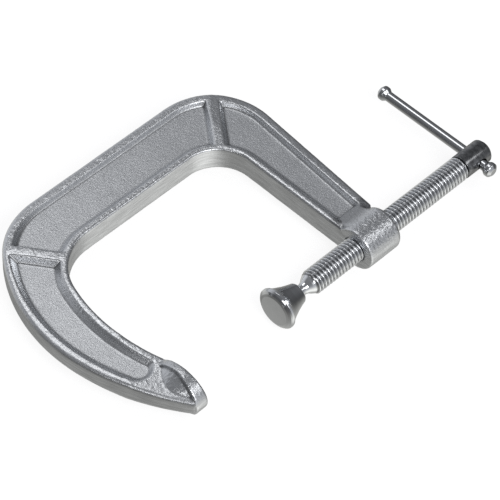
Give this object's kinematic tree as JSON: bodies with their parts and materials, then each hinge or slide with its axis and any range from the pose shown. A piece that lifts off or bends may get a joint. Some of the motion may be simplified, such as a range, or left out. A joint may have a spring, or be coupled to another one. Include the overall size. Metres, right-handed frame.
{
  "type": "c clamp",
  "caption": "Deep-throat forged C clamp with a threaded spindle, sliding tommy bar, fixed anvil and swivel pad.",
  "frame": {"origin": "centre of the fixed anvil's clamping face, on the screw's axis", "axes": "+Y along the screw's axis from the anvil towards the tommy bar; the spine of the C is at -X and its mouth opens to +X; +Z is square to the plane of the C"},
  "size_m": [0.1787, 0.302, 0.0292],
  "materials": {
    "plated_forging": "bright zinc plate over an as-forged surface",
    "plated_thread": "bright zinc plate over a rolled thread",
    "polished_bar": "bright zinc plate over a drawn rod",
    "polished_pad": "bright zinc plate over a turned surface",
    "spring_wire": "spring wire, oiled"
  },
  "bodies": {
    "frame": {"c_frame": "plated_forging"},
    "pad_ring": {"pad_snap_ring": "spring_wire"},
    "spindle": {"screw_spindle": "plated_thread"},
    "bar": {"tommy_bar": "polished_bar"},
    "pad": {"swivel_pad": "polished_pad"}
  },
  "joints": [
    {"name": "screw_feed", "type": "slide", "parent": "frame", "child": "pad_ring", "axis": [0, 1, 0], "range_m": [-0.065, 0.047]},
    {"name": "screw_turn", "type": "hinge", "parent": "pad_ring", "child": "spindle", "pos_m": [0, 0.087, 0], "axis": [0, 1, 0], "range_deg": [-8831, 6386]},
    {"name": "bar_slide", "type": "slide", "parent": "spindle", "child": "bar", "axis": [1, 0, 0], "range_m": [-0.0017, 0.0632]},
    {"name": "pad_tilt", "type": "hinge", "parent": "pad_ring", "child": "pad", "pos_m": [0, 0.087, 0], "axis": [0, 0, 1], "range_deg": [-8, 8]}
  ],
  "couplings": [
    {"joint": "screw_turn", "follows": "screw_feed", "rad_per_m": 2371}
  ]
}
